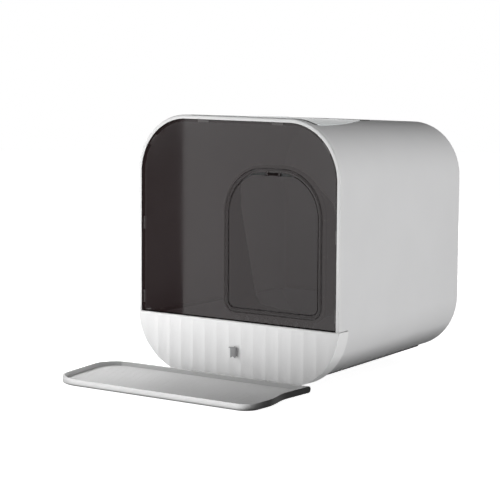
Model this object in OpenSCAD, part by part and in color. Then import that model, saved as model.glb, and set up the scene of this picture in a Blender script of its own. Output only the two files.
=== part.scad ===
// Hooded cat litter box: a drafted hood with a smoked front panel and a swinging
// entry flap, a litter drawer with a fluted front, a fold-up pedal and a top lid.
// Millimetres. X runs to the right, Y to the rear, Z up. The origin lies on the
// floor, midway across the hood and midway between its front and its back.

/* [Hood] */
// Width of the hood at its front
body_w = 420; // [390:1:480]
// Depth of the hood from front to back
body_d = 426; // [390:1:500]
// Height of the hood from its underside to its top at the front
body_h = 447; // [430:1:520]
// Outer radius of the two upper corners at the front
top_corner_r = 102; // [90:1:115]
// Outer radius of the two lower corners at the front
low_corner_r = 108; // [98:1:115]
// How much further in each side lies at the back
side_draft = 17; // [8:1:26]
// How much lower the top lies at the back
top_draft = 20; // [8:1:24]
// How much higher the hood's underside lies than the drawer's, at the front
low_lift = 8; // [2:1:10]
// How much higher the hood's underside lies than the drawer's, at the back
low_draft = 15; // [10:1:17]
// Wall thickness of the hood
wall_t = 3; // [2.4:0.1:3.6]
// Radius of the edge round the back of the hood
rear_edge_r = 8; // [4:0.5:12]
// Height of the front feet under the hood
foot_h = 4; // [3:0.5:8]

/* [Front frame and panel] */
// Width of the bright frame round the smoked panel
bezel_w = 6.5; // [5.5:0.5:9]
// Depth of the frame from front to back
bezel_d = 10; // [9.5:0.5:16]
// Width of the inner ledge that the panel rests against
ledge_w = 4; // [3:0.5:7]
// Thickness of the smoked panel
panel_t = 3; // [2.5:0.1:3.5]
// Groove left round the panel
panel_gap = 1; // [0.6:0.1:1.4]
// How far the panel sits behind the front of the frame
panel_recess = 1; // [0.6:0.1:1.4]
// Length of each clip on the edge of the panel
clip_len = 22; // [14:1:28]

/* [Entry] */
// Space between the door frame and the side of the hood
door_margin = 36; // [26:1:50]
// Outer width of the door frame
door_w = 196; // [180:1:204]
// Outer height of the door frame
door_h = 246; // [225:1:262]
// Height of the door frame above the drawer line
door_sill = 17; // [12:1:20]
// Width of the band of the door frame
door_band = 6.5; // [5.5:0.5:9]
// Outer radius of the two upper corners of the door frame
door_top_r = 80; // [70:1:84]
// Outer radius of the two lower corners of the door frame
door_low_r = 20; // [16:1:26]
// Thickness of the entry flap
flap_t = 3; // [2.4:0.1:3.4]
// Gap round the entry flap
flap_gap = 1.2; // [0.8:0.1:1.4]
// Diameter of the pin that the flap swings on
flap_pin_d = 2; // [1.6:0.1:2.4]
// Depth of the entry collar at the left of its sill
collar_low_d = 92; // [60:1:100]
// Depth of the entry collar at the right of its sill
collar_right_d = 39; // [36:1:60]
// Depth of the entry collar at its top
collar_top_d = 11; // [10:0.5:12]
// Wall thickness of the entry collar
collar_t = 2.2; // [1.8:0.1:2.8]
// Number of slots in the grated sill
sill_slots = 7; // [5:1:7]
// Spacing of the slots in the grated sill
sill_pitch = 20; // [17:0.5:20]
// Width of each slot in the grated sill
sill_slot_w = 11; // [8:0.5:13]

/* [Drawer] */
// Height of the drawer front
drawer_h = 100; // [94:1:104]
// Depth of the band by which the drawer front wraps the hood
drawer_band_d = 30; // [22:1:40]
// Thickness of the drawer front
drawer_front_t = 5; // [4.5:0.5:7]
// Number of flutes across the drawer front
flute_count = 15; // [9:2:15]
// Spacing of the flutes
flute_pitch = 25.6; // [18:0.2:25.6]
// Depth of each flute
flute_depth = 0.9; // [0.4:0.1:1.6]
// Gap between the drawer and what it closes against
drawer_gap = 1; // [0.6:0.1:1.6]
// Wall thickness of the litter tray
tray_t = 2.5; // [2:0.1:3.5]
// Space between the litter tray and the hood round it
tray_clear = 6; // [5:0.5:9]
// Radius of the upright corners of the litter tray
tray_corner_r = 55; // [40:1:65]

/* [Pedal] */
// Reach of the pedal in front of the drawer
pedal_d = 196; // [150:1:215]
// Thickness of the pedal
pedal_t = 11; // [10:0.5:12]
// Reach of the pedal to the left of the middle
pedal_left = 266; // [220:1:275]
// Reach of the pedal to the right of the middle at its hinge
pedal_right = 157; // [145:1:175]
// How far the pedal flares out to the right at its front
pedal_flare = 14; // [0:1:20]
// Width of the raised rim of the pedal
pedal_rim = 4; // [3:0.5:6]
// Thickness of the floor of the pedal
pedal_floor = 2.5; // [2:0.1:3]
// Diameter of the pedal's hinge pins
pedal_pin_d = 3; // [2.5:0.1:3.5]
// Spacing of the ribs on the pedal mat
mat_pitch = 9; // [7:0.5:12]

/* [Top lid] */
// Width of the lid at its front
lid_w = 300; // [240:2:310]
// How far the lid reaches back from the front of the hood
lid_reach = 215; // [195:1:230]
// How far the front edge of the lid lies behind the front of the hood
lid_start = 20; // [18:1:30]
// How far the lid stands proud of the hood
lid_proud = 0.6; // [0.4:0.1:1.4]
// Thickness of the lid
lid_t = 2.5; // [2.2:0.1:2.8]
// Diameter of the lid's hinge pin
lid_pin_d = 5; // [4:0.5:6]

/* [Hidden] */

$fn = 96;
cut = 1;                 // how far a cutter runs past a face
run_fit = 0.05;          // radial clearance of a pin in a moving knuckle
seat_fit = 0.03;         // radial clearance of a pin where it is held
soft_gap = 0.3;          // gap between faces that rest on each other across a joint

front_y = -body_d / 2;
rear_y = body_d / 2;
body_low = foot_h;
body_top = body_low + body_h;
drawer_line = body_low + drawer_h;
rear_top_r = top_corner_r - side_draft * 0.4;
hood_low_r = low_corner_r - low_lift;
rear_low_r = low_corner_r - side_draft * 0.5;

// Panel and its seat, all measured from the front of the hood
panel_y = front_y + panel_recess;
panel_back = panel_y + panel_t;
ledge_y = panel_back + soft_gap;
ledge_back = ledge_y + 2.7;
panel_in = bezel_w + panel_gap;
panel_low = drawer_line + drawer_gap;

// Doorway
door_x = body_w / 2 - door_margin - door_w / 2;
door_low = drawer_line + door_sill;
door_top = door_low + door_h;
flap_in = door_band + flap_gap;
frame_front = panel_y - 0.3;
frame_back = panel_back + 4.2;
frame_lip = 1.3;         // depth of the door frame's visible lip
relief_band = 4;         // width left of the door frame behind its lip
flange_w = 5.4;          // how far the flanges reach outside the doorway
flap_barrel_r = flap_pin_d / 2 + 1.5;
flap_barrel_len = 20;
flap_barrel_gap = 0.4;   // gap between the flap's barrel and the door frame over it
flap_axis_y = panel_y + flap_t / 2;
flap_axis_z = door_top - door_band - flap_barrel_gap - flap_barrel_r;
flap_top = flap_axis_z - 2.5;
flap_lug_w = 4;
flap_lug_gap = 0.6;
screw_d = 2.5;
screw_head_d = 5;
sill_floor = door_low + collar_t;

// Drawer and tray
tray_rail_top = body_low + low_draft + wall_t + 3;
tray_low = tray_rail_top + soft_gap;
tray_top = drawer_line - 1.5;
tray_front = front_y + drawer_front_t + 0.2;
tray_back = rear_y - wall_t - 9;
tray_in = wall_t + tray_clear;
rail_x = 84;
rail_w = 12;
lip_w = 4;
lip_t = 2;

// Pedal: its hinge axis, and the flat of its top and underside
pedal_low = 0.5;
pedal_top = pedal_low + pedal_t;
pedal_r = pedal_t / 2;
pedal_axis_y = front_y - pedal_r - 1.5;
pedal_axis_z = pedal_low + pedal_r;
pedal_front = front_y - pedal_d;
knuckle_x = 78;
knuckle_w = 14;
knuckle_gap = 0.5;
boss_w = 12;
mat_t = 1.5;
mat_rib = 0.3;
mat_gap = 0.4;

// Lid hinge, in the slope of the top
top_slope = atan(top_draft / body_d);
hinge_v = lid_reach + 11;
hinge_w = -3;
box_half = 110;
box_wall = 2.5;
box_end = 16;            // width of the solid ends of the hinge box
box_v0 = lid_reach + 0.8;
box_v1 = hinge_v + 20;
box_deep = 12;
box_proud = 0.6;         // how far the hinge box stands above the hood's surface
box_fit = 0.03;          // gap between the hinge box and the hood it is bonded to
box_flange = 5;          // how far the hinge box's flange reaches under the hood
box_flange_half = 95;
lid_ear_x = 56;
lid_ear_w = 18;
lid_ledge = 8;
lid_slot = 3;            // how much wider the gap round the lid is at its front
lid_gap = 0.8;
lid_bow = 1.49;

// Place along the draft: 0 at the front of the hood and 1 at its back
function draft(y) = (y - front_y) / body_d;
function half_at(y) = body_w / 2 - side_draft * draft(y);
function top_at(y) = body_top - top_draft * draft(y);
function low_at(y) = body_low + low_lift + (low_draft - low_lift) * draft(y);

// Points of an arc of radius r round c, from angle a0 to a1
function arc(c, r, a0, a1, n = 16) =
    [for (i = [0 : n]) c + r * [cos(a0 + (a1 - a0) * i / n), sin(a0 + (a1 - a0) * i / n)]];

// Rounded rectangle: half width, low and high edge, lower and upper corner radius
module rounded(half, low, high, rl, rt) {
    translate([-half, low + rl]) square([2 * half, high - rt - low - rl]);
    translate([-half + rt, low + rl]) square([2 * (half - rt), high - low - rl]);
    translate([-half + rl, low]) square([2 * (half - rl), high - rt - low]);
    for (side = [-1, 1]) {
        translate([side * (half - rl), low + rl]) circle(r = rl);
        translate([side * (half - rt), high - rt]) circle(r = rt);
    }
}

// Stands a flat outline upright, from y rearwards by depth
module upright(y, depth) {
    translate([0, y + depth, 0]) rotate([90, 0, 0]) linear_extrude(depth) children();
}

// Front outline of the hood, drawn in by inset
module front_outline(inset = 0) {
    rounded(body_w / 2 - inset, body_low + inset, body_top - inset,
        low_corner_r - inset, top_corner_r - inset);
}

// Outline of the doorway, drawn in by inset
module door_outline(inset = 0) {
    translate([door_x, 0])
        rounded(door_w / 2 - inset, door_low + inset, door_top - inset,
            door_low_r - inset, door_top_r - inset);
}

// Half plane above or below a height, for cutting outlines
module above(z) { translate([-body_w, z]) square([2 * body_w, 2 * body_h]); }
module below(z) { translate([-body_w, z - 2 * body_h]) square([2 * body_w, 2 * body_h]); }

// Four thin rods at the corners of the hood's section at y
module section_rods(y, inset) {
    k = draft(y);
    rt = top_corner_r + (rear_top_r - top_corner_r) * k - inset;
    rl = hood_low_r + (rear_low_r - hood_low_r) * k - inset;
    for (side = [-1, 1]) {
        translate([side * (half_at(y) - inset - rt), y, top_at(y) - inset - rt])
            rotate([-90, 0, 0]) cylinder(r = rt, h = 0.01, $fn = 72);
        translate([side * (half_at(y) - inset - rl), y, low_at(y) + inset + rl])
            rotate([-90, 0, 0]) cylinder(r = rl, h = 0.01, $fn = 72);
    }
}

// The drafted body of the hood between two depths, drawn in by inset and with its
// far edge rounded by round
module hood_solid(y0, y1, inset = 0, round = 0) {
    steps = round > 0 ? 4 : 0;
    hull() {
        section_rods(y0, inset);
        for (i = [0 : steps])
            section_rods(y1 - 0.01 - round * (1 - sin(90 * i / max(1, steps))),
                inset + round * (1 - cos(90 * i / max(1, steps))));
    }
}

// Sweeps a profile (x outwards, y rearwards) along the hood's upper front edge
module sweep_upper(inset, from_z) {
    half = body_w / 2 - inset;
    high = body_top - inset;
    r = top_corner_r - inset;
    for (side = [0, 1]) mirror([side, 0, 0]) {
        translate([half, front_y, from_z]) linear_extrude(high - r - from_z) children();
        translate([half - r, front_y, high - r]) rotate([-90, 0, 0]) rotate([0, 0, -90])
            rotate_extrude(angle = 90) translate([r, 0]) children();
    }
    translate([half - r, front_y, high]) rotate([0, -90, 0])
        linear_extrude(2 * (half - r)) children();
}

// Puts a shape on the sloping top: x across, y back from the front, z up off the top
module on_top() {
    translate([0, front_y, body_top]) rotate([-top_slope, 0, 0]) children();
}

// Half width of the lid, a long oval that narrows to the rear
function lid_half(v) = lid_w / 2 * sqrt(1 - pow(v / (lid_reach * lid_bow), 2));

// Plan of the lid, grown or shrunk by grow
module lid_plan(grow = 0) {
    steps = 14;
    v = [for (i = [0 : steps]) lid_start + (lid_reach - lid_start) * i / steps];
    translate([0, front_y]) offset(delta = grow) offset(r = 9) offset(delta = -9)
        polygon(concat(
            [for (p = v) [lid_half(p), p]],
            [for (i = [0 : steps]) [-lid_half(v[steps - i]), v[steps - i]]]
        ));
}

// Upright prism over the lid's plan
module lid_prism(grow) {
    translate([0, 0, body_top - 60]) linear_extrude(90) lid_plan(grow);
}

// Where the clips sit along the panel's edge: side clips by height, top clips by x
clip_side_z = [drawer_line + 26, drawer_line + 156];
clip_top_x = [-72, 82];
clip_turn = 38;

// Runs a child at each clip: x along the edge, y outwards from the panel's edge
module at_clips() {
    edge = body_w / 2 - panel_in;
    top = body_top - panel_in;
    r = top_corner_r - panel_in;
    for (side = [0, 1]) mirror([side, 0, 0]) {
        for (z = clip_side_z)
            translate([edge, panel_back, z]) rotate([0, 90, 0]) children();
        translate([edge - r, panel_back, top - r]) rotate([0, 90 - clip_turn, 0])
            translate([0, 0, r]) children();
    }
    for (x = clip_top_x) translate([x, panel_back, top]) children();
}

// ---- hood -------------------------------------------------------------------

module hood_shell() {
    skin_y = front_y + bezel_d;
    color("whitesmoke") difference() {
        hood_solid(skin_y, rear_y, 0, rear_edge_r);
        hood_solid(skin_y - cut, rear_y - wall_t, wall_t, rear_edge_r - wall_t + 1);
        translate([-body_w, front_y - cut, -cut])
            cube([2 * body_w, drawer_band_d + drawer_gap + cut, drawer_line + drawer_gap + cut]);
        intersection() {
            union() {
                lid_prism(lid_gap);
                translate([0, -lid_slot, 0]) lid_prism(lid_gap);
            }
            difference() {
                translate([-body_w / 2, front_y, body_top - 60]) cube([body_w, body_d, 90]);
                hood_solid(front_y, rear_y, lid_t - lid_proud + soft_gap);
            }
        }
        lid_prism(-lid_ledge);
        on_top() translate([-box_half - box_fit, box_v0 - box_fit, -box_deep])
            cube([2 * (box_half + box_fit), box_v1 - box_v0 + 2 * box_fit, 2 * box_deep]);
    }
}

// Profile of the frame: bevelled front, wall behind, ledge inwards behind the panel
module bezel_profile() {
    polygon([
        [0, 0.6], [0.7, 0], [bezel_w - 3.2, 0], [bezel_w - 0.8, 1.1], [bezel_w, 3],
        [bezel_w, bezel_d - 0.8], [bezel_w - 0.8, bezel_d], [bezel_w - wall_t, bezel_d], [bezel_w - wall_t, ledge_back - front_y],
        [-ledge_w - panel_gap, ledge_back - front_y], [-ledge_w - panel_gap, ledge_y - front_y],
        [0, ledge_y - front_y]
    ]);
}

module front_bezel() {
    color("white") difference() {
        sweep_upper(bezel_w, drawer_line + drawer_gap) bezel_profile();
        at_clips() translate([-clip_len / 2 - soft_gap, -cut, -ledge_w - cut])
            cube([clip_len + 2 * soft_gap, bezel_d, ledge_w + cut + soft_gap]);
    }
}

module lid_hinge_box() {
    color("gainsboro") on_top() difference() {
        union() {
            translate([-box_half, box_v0, -box_deep])
                cube([2 * box_half, box_v1 - box_v0, box_deep + box_proud]);
            translate([-box_flange_half, box_v0 - box_flange, -wall_t - 2])
                cube([2 * box_flange_half, box_v1 - box_v0 + 2 * box_flange, 2 - box_fit]);
        }
        translate([-box_half + box_end, box_v0 + box_wall, -box_deep + box_wall])
            cube([2 * (box_half - box_end), box_v1 - box_v0 - 2 * box_wall, box_deep + cut]);
        for (x = [-lid_ear_x, lid_ear_x])
            translate([x - lid_ear_w / 2 - 1, box_v0 - cut, -4.5])
                cube([lid_ear_w + 2, box_wall + 2 * cut, box_deep]);
        translate([-box_half - cut, hinge_v, hinge_w]) rotate([0, 90, 0])
            cylinder(d = lid_pin_d + 2 * seat_fit, h = 2 * (box_half + cut));
    }
}

module lid_pin() {
    color("silver") on_top() translate([-box_half, hinge_v, hinge_w]) rotate([0, 90, 0])
        cylinder(d = lid_pin_d, h = 2 * box_half);
}

// Two low ridges along the underside, following the hood's lower corners
rail_ridge_x = 126;
rail_ridge_w = 24;
rail_ridge_h = 2;
rail_ridge_end = 378;

module base_rails() {
    start = front_y + drawer_band_d + drawer_gap + 2;
    color("dimgray") difference() {
        intersection() {
            hood_solid(start, front_y + rail_ridge_end, -rail_ridge_h);
            for (side = [-1, 1])
                translate([side * rail_ridge_x - rail_ridge_w / 2, front_y, 0])
                    cube([rail_ridge_w, rail_ridge_end, 60]);
        }
        hood_solid(front_y, rear_y);
    }
}

// Wedge that lies on the sloping floor and carries the tray level
module runner(x) {
    y0 = front_y + drawer_band_d + drawer_gap + 4;
    y1 = rear_y - wall_t - 12;
    color("silver") translate([x - rail_w / 2, 0, 0]) rotate([90, 0, 90]) linear_extrude(rail_w)
        polygon([
            [y0, low_at(y0) + wall_t], [y1, low_at(y1) + wall_t],
            [y1, tray_rail_top], [y0, tray_rail_top]
        ]);
}

module runner_left() { runner(-rail_x); }
module runner_right() { runner(rail_x); }

// Round feet at the given places, their tops cut to follow the underside
foot_r = 11;
foot_front_x = body_w * 0.195;
foot_rear_x = body_w * 0.114;
foot_front_in = 62;
foot_rear_in = 40;

module round_feet(places, r) {
    color("gray") difference() {
        for (p = places) translate([p.x, p.y, 0]) {
            cylinder(r1 = r - 1.2, r2 = r, h = 1.2);
            translate([0, 0, 1.2]) cylinder(r = r, h = body_low + low_draft);
        }
        hood_solid(front_y, rear_y);
    }
}

module feet_front() {
    round_feet([for (side = [-1, 1]) [side * foot_front_x, front_y + foot_front_in]], foot_r);
}

module feet_rear() {
    round_feet([for (side = [-1, 1]) [side * foot_rear_x, rear_y - foot_rear_in]], foot_r);
}

module foot_middle() {
    round_feet([[0, 0]], foot_r + 5);
}

// ---- front panel and entry --------------------------------------------------

module front_panel() {
    color("dimgray", 0.8) upright(panel_y, panel_t) difference() {
        intersection() {
            front_outline(panel_in);
            above(panel_low);
        }
        door_outline(-0.8);
    }
}

module panel_clips() {
    color("darkgray") at_clips()
        translate([-clip_len / 2, 0, -ledge_w]) cube([clip_len, 5, ledge_w - 0.4]);
}

// Lugs that hold the flap's pin, hanging from the top of the door frame
module flap_lugs() {
    lug_x = flap_barrel_len / 2 + flap_lug_gap;
    for (x = [door_x - lug_x - flap_lug_w, door_x + lug_x])
        translate([x, 0, 0]) {
            intersection() {
                translate([0, flap_axis_y, flap_axis_z]) rotate([0, 90, 0])
                    cylinder(r = flap_barrel_r, h = flap_lug_w);
                translate([-cut, frame_front, 0]) cube([body_w, body_d, 2 * body_h]);
            }
            translate([0, frame_front, flap_axis_z])
                cube([flap_lug_w, flap_axis_y + flap_barrel_r - frame_front,
                    door_top - relief_band / 2 - flap_axis_z]);
        }
}

module door_frame() {
    color("dimgray") difference() {
        union() {
            upright(frame_front, frame_lip) difference() {
                door_outline();
                door_outline(door_band);
            }
            upright(frame_front, frame_back - frame_front) difference() {
                door_outline();
                door_outline(relief_band);
            }
            upright(panel_back + seat_fit, frame_back - panel_back - seat_fit) difference() {
                door_outline(-flange_w);
                door_outline(relief_band / 2);
            }
            flap_lugs();
        }
        translate([door_x - 30, flap_axis_y, flap_axis_z]) rotate([0, 90, 0])
            cylinder(d = flap_pin_d + 2 * seat_fit, h = 60);
        at_screws() cylinder(d = screw_d + 2 * seat_fit, h = 10, center = true);
    }
}

// Screws that hold the collar to the door frame, axis rearwards
module at_screws() {
    y = frame_back;
    for (side = [-1, 1]) {
        x = door_x + side * (door_w / 2 + flange_w / 2);
        for (z = [door_low + door_h * 0.16, door_low + door_h * 0.43, door_top - door_top_r])
            translate([x, y, z]) rotate([-90, 0, 0]) children();
    }
}

collar_mid_d = 45;       // depth of the collar where the arch begins
collar_neck_d = 38.5;    // depth a third of the way up the arch
collar_neck_z = 56;      // how far the neck lies under the top of the doorway
collar_shoulder_d = 14.5;
collar_shoulder_z = 25;
collar_brow_z = 16;      // how far down the collar keeps its least depth

// Where the collar ends, seen from the side (y, z): deepest at its sill
function collar_side() = [
    [front_y, door_low - 20],
    [front_y + collar_low_d, door_low - 20],
    [front_y + collar_low_d, door_low + 4],
    [front_y + collar_mid_d, door_top - door_top_r],
    [front_y + collar_neck_d, door_top - collar_neck_z],
    [front_y + collar_shoulder_d, door_top - collar_shoulder_z],
    [front_y + collar_top_d, door_top - collar_brow_z],
    [front_y + collar_top_d, door_top + 6],
    [front_y, door_top + 6]
];

// Where the collar ends, seen from above: shallower to the right
function collar_plan() = let (left = door_x - door_w / 2, right = door_x + door_w / 2) [
    [left - 20, front_y],
    [left - 20, front_y + collar_low_d + 12],
    [left + 76, front_y + (collar_low_d + 2 * collar_right_d) / 3],
    [right + 20, front_y + collar_right_d],
    [right + 20, front_y]
];

module collar_body(inset, y0) {
    upright(y0, collar_low_d) door_outline(inset);
}

module entry_collar() {
    y0 = frame_back;
    color("white") difference() {
        intersection() {
            difference() {
                union() {
                    collar_body(0, y0);
                    upright(y0 + seat_fit, 2) door_outline(-flange_w);
                }
                collar_body(collar_t, y0 + 2);
                upright(y0 - cut, 4) door_outline(relief_band);
            }
            translate([door_x - door_w, 0, 0]) rotate([90, 0, 90]) linear_extrude(2 * door_w)
                polygon(collar_side());
            linear_extrude(2 * body_h) polygon(collar_plan());
        }
        translate([door_x - grate_w / 2, grate_y0, door_low - 20])
            cube([grate_w, grate_y1 - grate_y0, 24 + collar_t]);
        at_screws() translate([0, 0, -cut]) cylinder(d = screw_d + 0.6, h = 5);
    }
}

// Grated sill: a slotted floor in the collar with a slotted apron in front
grate_w = sill_slots * sill_pitch + 8;
grate_y0 = frame_back + 3;
grate_y1 = front_y + collar_right_d - 1;
apron_t = 2.4;

module sill_grate() {
    w = grate_w - 2 * soft_gap;
    y0 = grate_y0 + soft_gap;
    y1 = grate_y1 - soft_gap;
    apron_low = panel_low + 0.5;
    color("white") difference() {
        union() {
            translate([door_x - w / 2, y0, door_low]) cube([w, y1 - y0, collar_t]);
            translate([door_x - w / 2, y0, apron_low]) cube([w, apron_t, door_low - apron_low + 1]);
        }
        for (i = [0 : sill_slots - 1]) {
            x = door_x + (i - (sill_slots - 1) / 2) * sill_pitch;
            translate([x - sill_slot_w / 2, y0 + apron_t + 3, door_low - cut])
                cube([sill_slot_w, y1 - y0 - apron_t - 7, collar_t + 2 * cut]);
            translate([x - sill_slot_w / 2, y0 - cut, apron_low - cut])
                cube([sill_slot_w, apron_t + 2 * cut, 7]);
            translate([x, y0 - cut, apron_low - cut + 7]) rotate([-90, 0, 0])
                cylinder(d = sill_slot_w * 0.55, h = apron_t + 2 * cut);
        }
    }
}

module collar_screws() {
    color("silver") at_screws() {
        translate([0, 0, -3]) cylinder(d = screw_d, h = 5.1);
        difference() {
            translate([0, 0, 2.1]) cylinder(d = screw_head_d, h = 1.6);
            for (turn = [0, 90]) rotate([0, 0, turn])
                translate([-1.6, -0.4, 2.9]) cube([3.2, 0.8, 1.5]);
        }
    }
}

module flap_pin() {
    len = flap_barrel_len + 2 * (flap_lug_w + flap_lug_gap);
    color("silver") translate([door_x - len / 2, flap_axis_y, flap_axis_z]) rotate([0, 90, 0])
        cylinder(d = flap_pin_d, h = len);
}

module entry_flap() {
    slot = flap_lug_w + 2 * flap_lug_gap;
    color("dimgray", 0.8) difference() {
        union() {
            upright(flap_axis_y - flap_t / 2, flap_t) {
                difference() {
                    intersection() {
                        door_outline(flap_in);
                        below(flap_top);
                    }
                    for (side = [-1, 1])
                        translate([door_x + side * (flap_barrel_len + slot) / 2 - slot / 2,
                            flap_axis_z - flap_barrel_r - flap_lug_gap])
                            square([slot, 30]);
                }
                translate([door_x - flap_barrel_len / 2, flap_top - cut])
                    square([flap_barrel_len, flap_axis_z - flap_top + cut]);
            }
            translate([door_x - flap_barrel_len / 2, flap_axis_y, flap_axis_z]) rotate([0, 90, 0])
                cylinder(r = flap_barrel_r, h = flap_barrel_len);
        }
        translate([door_x - flap_barrel_len, flap_axis_y, flap_axis_z]) rotate([0, 90, 0])
            cylinder(d = flap_pin_d + 2 * run_fit, h = 2 * flap_barrel_len);
    }
}

// ---- drawer -----------------------------------------------------------------

flute_land = 0.6;        // flat left between two flutes
flute_half = (flute_pitch - flute_land) / 2;
flute_r = (pow(flute_half, 2) + pow(flute_depth, 2)) / (2 * flute_depth);
top_bevel = 1.3;
top_lip = 3.5;

module drawer_front() {
    color("white") difference() {
        union() {
            upright(front_y, drawer_front_t) intersection() {
                front_outline();
                below(drawer_line);
            }
            upright(front_y, drawer_band_d) difference() {
                intersection() {
                    front_outline();
                    below(drawer_line);
                }
                front_outline(wall_t);
            }
        }
        for (i = [0 : flute_count - 1]) {
            x = (i - (flute_count - 1) / 2) * flute_pitch;
            translate([x, front_y + flute_depth - flute_r, body_low - cut])
                cylinder(r = flute_r, h = drawer_h - top_lip + cut, $fn = 180);
        }
        translate([-body_w, front_y, drawer_line]) rotate([45, 0, 0])
            translate([0, -top_bevel, -top_bevel]) cube([2 * body_w, 2 * top_bevel, 2 * top_bevel]);
        at_tray_screws() cylinder(d = 3, h = 7, center = true);
    }
}

// Pull on the drawer front: a small waisted grip with a thin wing to its left
pull_down = 51.5;        // how far its middle lies under the drawer's top edge
pull_w = 10;
pull_h = 21;
pull_reach = 6.5;
pull_wing = 7;
pull_wing_t = 1.4;
pull_waist = 3;          // how much the grip narrows towards its middle
pull_waist_y = front_y - 2.5;

module drawer_pull() {
    low = drawer_line - pull_down - pull_h / 2;
    high = low + pull_h;
    seat_y = front_y + flute_depth * 0.8;
    color("darkgray") {
        intersection() {
            upright(front_y - pull_reach, pull_reach + flute_depth) polygon([
                [-pull_w / 2, low],
                [0, low + pull_waist],
                [pull_w / 2, low],
                [pull_w / 2, high],
                [0, high - pull_waist],
                [-pull_w / 2, high - pull_waist * 0.8]
            ]);
            translate([-pull_w, 0, 0]) rotate([90, 0, 90]) linear_extrude(2 * pull_w) polygon([
                [front_y - pull_reach, low],
                [pull_waist_y, low + pull_waist],
                [seat_y, low + pull_waist],
                [seat_y, high - pull_waist],
                [pull_waist_y, high - pull_waist],
                [front_y - pull_reach, high]
            ]);
        }
        translate([-pull_w / 2 - pull_wing, front_y - pull_wing_t, high - pull_waist - 2.2])
            cube([pull_wing + 1, pull_wing_t, 1.6]);
    }
}

// Plan of the tray, grown outwards by grow
module tray_plan(grow) {
    r = tray_corner_r + grow;
    rounded(body_w / 2 - tray_in + grow, tray_front - grow, tray_back + grow, r, r);
}

// The tray's basin, drawn in by inset, from low to high
module tray_body(inset, low, high) {
    intersection() {
        hood_solid(front_y, rear_y, tray_in + inset);
        translate([0, 0, low]) linear_extrude(high - low) tray_plan(-inset);
    }
}

module litter_tray() {
    rim = tray_top - lip_t;
    color("whitesmoke") difference() {
        union() {
            tray_body(0, tray_low, tray_top);
            intersection() {
                hood_solid(front_y, rear_y, tray_in - lip_w);
                translate([0, 0, rim]) linear_extrude(lip_t) intersection() {
                    tray_plan(lip_w);
                    translate([-body_w, tray_front]) square([2 * body_w, body_d]);
                }
            }
        }
        tray_body(tray_t, tray_low + tray_t, tray_top + cut);
        at_tray_screws() translate([0, 0, -cut]) cylinder(d = 3.4, h = 8);
    }
}

// Screws from inside the tray into the drawer front, axis rearwards
tray_screw_x = body_w * 0.24;

module at_tray_screws() {
    for (x = [-tray_screw_x, tray_screw_x])
        for (z = [body_low + drawer_h * 0.36, drawer_line - drawer_h * 0.22])
            translate([x, tray_front, z]) rotate([-90, 0, 0]) children();
}

module tray_screws() {
    color("silver") at_tray_screws() {
        translate([0, 0, -3.4]) cylinder(d = 2.9, h = 3.4 + tray_t);
        difference() {
            translate([0, 0, tray_t]) cylinder(d = 6.4, h = 2);
            for (turn = [0, 90]) rotate([0, 0, turn])
                translate([-2, -0.5, tray_t + 1]) cube([4, 1, 1.5]);
        }
    }
}

// ---- pedal ------------------------------------------------------------------

module pedal_brackets() {
    color("lightgray") difference() {
        for (x = [-knuckle_x, knuckle_x]) translate([x - knuckle_w / 2, 0, 0]) {
            translate([0, pedal_axis_y, pedal_axis_z]) rotate([0, 90, 0])
                cylinder(r = pedal_r - 0.8, h = knuckle_w);
            translate([0, pedal_axis_y, body_low + 1.6])
                cube([knuckle_w, front_y + flute_depth - pedal_axis_y, pedal_r - 0.6]);
        }
        for (x = [-knuckle_x, knuckle_x])
            translate([x - knuckle_w, pedal_axis_y, pedal_axis_z]) rotate([0, 90, 0])
                cylinder(d = pedal_pin_d + 2 * run_fit, h = 2 * knuckle_w);
        for (i = [0 : flute_count - 1]) {
            x = (i - (flute_count - 1) / 2) * flute_pitch;
            intersection() {
                translate([-body_w, front_y, 0]) cube([2 * body_w, 10, 20]);
                difference() {
                    translate([x - flute_pitch / 2, front_y, 0]) cube([flute_pitch, 10, 20]);
                    translate([x, front_y + flute_depth - flute_r, -cut])
                        cylinder(r = flute_r, h = 30, $fn = 180);
                }
            }
        }
    }
}

// Outline of the pedal seen from above
pedal_back_r = 42;

module pedal_plan() {
    back = pedal_axis_y;
    r_left = 62;
    r_right = 24;
    lean = 16;
    right = pedal_right + pedal_flare;
    flare_from = back - 62;
    flare_to = pedal_front + r_right + 26;
    steps = 10;
    side = [for (i = [0 : steps]) [
        pedal_right + pedal_flare * (1 - cos(180 * i / steps)) / 2,
        flare_from + (flare_to - flare_from) * i / steps
    ]];
    polygon(concat(
        [[pedal_right, back]], side,
        arc([right - r_right, pedal_front + r_right], r_right, 0, -90),
        arc([-pedal_left + lean + r_left, pedal_front + r_left], r_left, 270, 186),
        arc([-pedal_left + pedal_back_r, back - pedal_back_r], pedal_back_r, 186, 90)
    ));
}

module pedal_tray() {
    color("lightgray") difference() {
        union() {
            translate([0, 0, pedal_low]) linear_extrude(pedal_t) pedal_plan();
            translate([-pedal_left + pedal_back_r, pedal_axis_y, pedal_axis_z]) rotate([0, 90, 0])
                cylinder(r = pedal_r, h = pedal_left - pedal_back_r + pedal_right);
        }
        difference() {
            translate([0, 0, pedal_low + pedal_floor]) linear_extrude(pedal_t) offset(delta = -pedal_rim)
                pedal_plan();
            translate([-body_w, pedal_axis_y - pedal_r - 1, 0]) cube([2 * body_w, 40, 40]);
        }
        for (x = [-knuckle_x, knuckle_x]) {
            translate([x - knuckle_w / 2 - knuckle_gap, pedal_axis_y - pedal_r - 0.2, -cut])
                cube([knuckle_w + 2 * knuckle_gap, 20, 20]);
            translate([x - knuckle_w / 2 - boss_w, pedal_axis_y, pedal_axis_z]) rotate([0, 90, 0])
                cylinder(d = pedal_pin_d + 2 * seat_fit, h = knuckle_w + 2 * boss_w);
        }
    }
}

// Ribbed mat that lies in the pedal, its rear left corner scalloped
mat_scallop_r = 2.2;

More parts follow.
